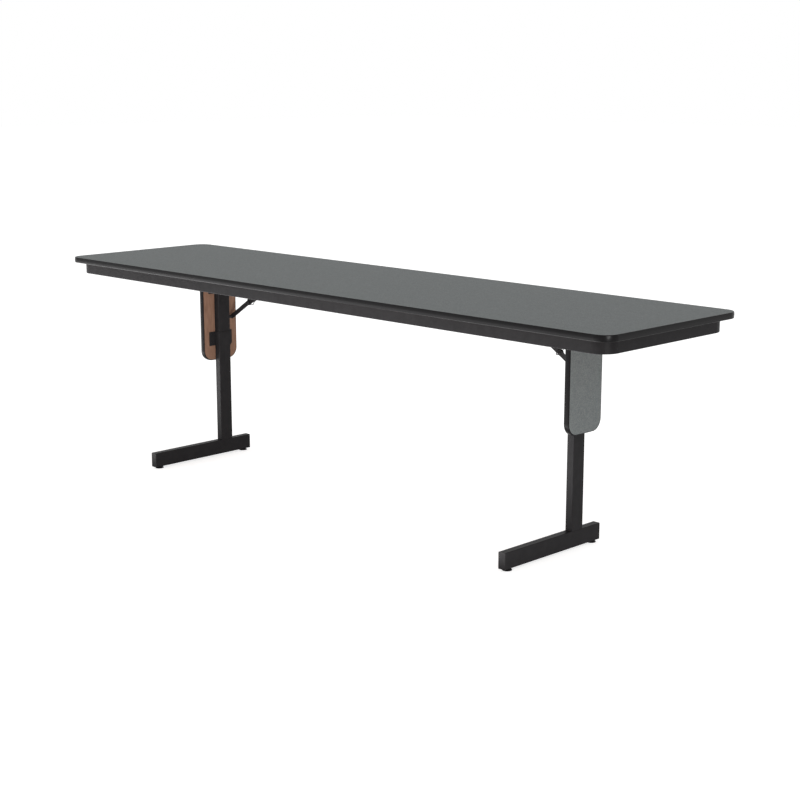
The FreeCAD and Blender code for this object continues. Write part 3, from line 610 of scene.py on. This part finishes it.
def flat_screws(name, body, inboard):
    """Countersunk screws in place of the plain ones of a CAD node; inboard is the way the heads face."""
    mesh = bmesh.new()
    for low, high in solids_of(name):
        radius = (high.y - low.y) / 2
        shank = SHANK_SHARE * radius
        length = high.x - low.x
        tip_x = low.x if inboard > 0 else high.x
        tip = Matrix.Translation((tip_x, (low.y + high.y) / 2, (low.z + high.z) / 2))
        where = tip @ Matrix.Rotation(inboard * math.pi / 2, 4, "Y")
        profile = [(shank * across, length * along) for across, along in SCREW_POINT_SHARES]
        profile.append((shank, length - FLAT_SINK_SHARE * radius))
        profile += [(radius * across, length - radius * down) for across, down in FLAT_HEAD_SHARES]
        rings = turned(mesh, profile, where)
        cross_recess(mesh, rings[-1], where, FLAT_CROSS_REACH_SHARE * radius, CROSS_WIDTH_SHARE * radius,
                     length, FLAT_CROSS_DEPTH_SHARE * radius)
    piece = new_piece(f"{name}_flat_head", mesh, coat, body)
    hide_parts(name)


for side, inboard in zip(SIDES, (1, -1)):
    dress(coat, f"{side}_panel_strap_lower", f"{side}_panel_strap_upper")
    flat_screws(f"{side}_strap_screws", f"{side}_leg", inboard)


# Folding brace. Two links stamped from strip, riveted at the knee: the lower one on a stud of the
# stem, the upper one pinned to a bracket under the top, locked by a black wire ring over the knee.

PIN_SHANK_SHARE = 0.58
PIN_SHARP_DEGREES = 50
DOME_HEIGHT = 0.0025
# The dome's outline in shares of the pin's radius and the dome's height.
DOME_SHARES = ((0, 0), (0.35, 0.06), (0.66, 0.25), (0.88, 0.55), (0.98, 0.85), (0.98, 1))


def domed_pin(name, body, heads):
    """A coated pin along Y with domed heads in place of a CAD node; heads tells which ends have one."""
    low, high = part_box(name)
    length = high.y - low.y
    radius = (high.x - low.x) / 2
    shank = PIN_SHANK_SHARE * radius
    front = Matrix.Translation(((low.x + high.x) / 2, low.y, (low.z + high.z) / 2))
    where = front @ Matrix.Rotation(-math.pi / 2, 4, "X")
    dome = [(radius * across, DOME_HEIGHT * along) for across, along in DOME_SHARES]
    dome.append((shank, DOME_HEIGHT))
    profile = dome if "front" in heads else [(0, 0), (shank, 0)]
    if "rear" in heads:
        profile = profile + [(reach, length - height) for reach, height in reversed(dome)]
    else:
        profile = profile + [(shank, length), (0, length)]
    mesh = bmesh.new()
    turned(mesh, profile, where)
    piece = new_piece(f"{name}_domed", mesh, coat, body, PIN_SHARP_DEGREES)
    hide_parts(name)


for side in SIDES:
    dress(coat, f"{side}_brace_bracket", f"{side}_brace_stud")
    dress(coat, f"{side}_brace_lower_link", f"{side}_brace_upper_link", f"{side}_brace_lock_ring")
    domed_pin(f"{side}_brace_bracket_pin", "tabletop", ("front", "rear"))
    domed_pin(f"{side}_knee_rivet_front", f"{side}_lower_link", ("front",))
    domed_pin(f"{side}_knee_rivet_rear", f"{side}_upper_link", ("rear",))


# Setting. A pale studio floor that runs off to white, even light all round, three bright reflectors lying
# on the floor in front, one low light far off at the right, and the camera where the photo was taken.

WHITE = (1, 1, 1, 1)
WORLD_LIGHT = 0.8
WORLD_SEEN = 1.0
FLOOR_REACH = 30
FLOOR_GREY = (0.6, 0.6, 0.6, 1)
FLOOR_ROUGHNESS = 0.9
FLOOR_GLOW = 0.72
REFLECTOR_LIFT = 0.004
REFLECTORS = (
    ("near_reflector_left", (-2.2, -0.70), (2.7, 0.74), 62),
    ("near_reflector_right", (0.5, -0.70), (1.4, 0.74), 30),
    ("far_reflector", (-1.2, -1.9), (5.0, 1.6), 62),
)
RIGHT_LIGHT_PLACE = (8.7, -3.6, 0.5)
RIGHT_LIGHT_TARGET = (0.6, -0.1, 0.5)
RIGHT_LIGHT_SIZE = (2.4, 0.98)
RIGHT_LIGHT_WATTS = 350
CAMERA_PLACE = (3.60885, -3.44076, 1.39704)
CAMERA_YAW = math.radians(45)
CAMERA_PITCH = math.radians(-12)
CAMERA_LENS = 70.16
CAMERA_SENSOR = 36


def seen_as_white(tree):
    """1 for rays that look at the setting itself or see it in gloss or glass, 0 for its light."""
    path = tree.nodes.new("ShaderNodeLightPath")
    total = path.outputs["Is Camera Ray"]
    for kind in ("Is Glossy Ray", "Is Transmission Ray"):
        either = tree.nodes.new("ShaderNodeMath")
        either.operation = "MAXIMUM"
        tree.links.new(total, either.inputs[0])
        tree.links.new(path.outputs[kind], either.inputs[1])
        total = either.outputs["Value"]
    return total


def studio_world():
    """Even white light all round, a little weaker than it looks."""
    world = bpy.data.worlds.new("studio")
    world.use_nodes = True
    bpy.context.scene.world = world
    tree = world.node_tree
    backdrop = tree.nodes["Background"]
    backdrop.inputs["Color"].default_value = WHITE
    level = tree.nodes.new("ShaderNodeMapRange")
    level.inputs["To Min"].default_value = WORLD_LIGHT
    level.inputs["To Max"].default_value = WORLD_SEEN
    tree.links.new(seen_as_white(tree), level.inputs["Value"])
    tree.links.new(level.outputs["Result"], backdrop.inputs["Strength"])


def studio_floor():
    """A wide pale floor that glows where it is seen, so that it runs off to white but keeps a shadow."""
    mesh = bmesh.new()
    bmesh.ops.create_grid(mesh, x_segments=1, y_segments=1, size=FLOOR_REACH)
    data = bpy.data.meshes.new("floor")
    mesh.to_mesh(data)
    mesh.free()
    floor = bpy.data.objects.new("floor", data)
    bpy.context.scene.collection.objects.link(floor)
    material, tree, shader = new_finish("pale_floor", 0)
    shader.inputs["Base Color"].default_value = FLOOR_GREY
    shader.inputs["Roughness"].default_value = FLOOR_ROUGHNESS
    shader.inputs["Emission Color"].default_value = WHITE
    level = tree.nodes.new("ShaderNodeMath")
    level.operation = "MULTIPLY"
    level.inputs[1].default_value = FLOOR_GLOW
    tree.links.new(seen_as_white(tree), level.inputs[0])
    tree.links.new(level.outputs["Value"], shader.inputs["Emission Strength"])
    data.materials.append(material)


def soft_light(name, where, target, size, watts):
    """A rectangular light that the camera doesn't see, facing a target."""
    data = bpy.data.lights.new(name, "AREA")
    data.shape = "RECTANGLE"
    data.size, data.size_y = size
    data.energy = watts
    light = bpy.data.objects.new(name, data)
    light.location = where
    light.rotation_euler = (Vector(target) - Vector(where)).to_track_quat("-Z", "Y").to_euler()
    light.visible_camera = False
    bpy.context.scene.collection.objects.link(light)


def photo_camera():
    """A camera at the photo's viewing angle, fitted to the corners of the top, the feet and the panels."""
    data = bpy.data.cameras.new("camera")
    data.sensor_width = CAMERA_SENSOR
    data.lens = CAMERA_LENS
    camera = bpy.data.objects.new("camera", data)
    camera.location = CAMERA_PLACE
    level_reach = math.cos(CAMERA_PITCH)
    forward = Vector((-math.sin(CAMERA_YAW) * level_reach, math.cos(CAMERA_YAW) * level_reach,
                      math.sin(CAMERA_PITCH)))
    camera.rotation_euler = forward.to_track_quat("-Z", "Y").to_euler()
    bpy.context.scene.collection.objects.link(camera)
    bpy.context.scene.camera = camera


studio_world()
studio_floor()
for name, (x, y), size, watts in REFLECTORS:
    soft_light(name, (x, y, REFLECTOR_LIFT), (x, y, 1), size, watts)
soft_light("right_light", RIGHT_LIGHT_PLACE, RIGHT_LIGHT_TARGET, RIGHT_LIGHT_SIZE, RIGHT_LIGHT_WATTS)
photo_camera()
bpy.context.scene.view_settings.view_transform = "Standard"
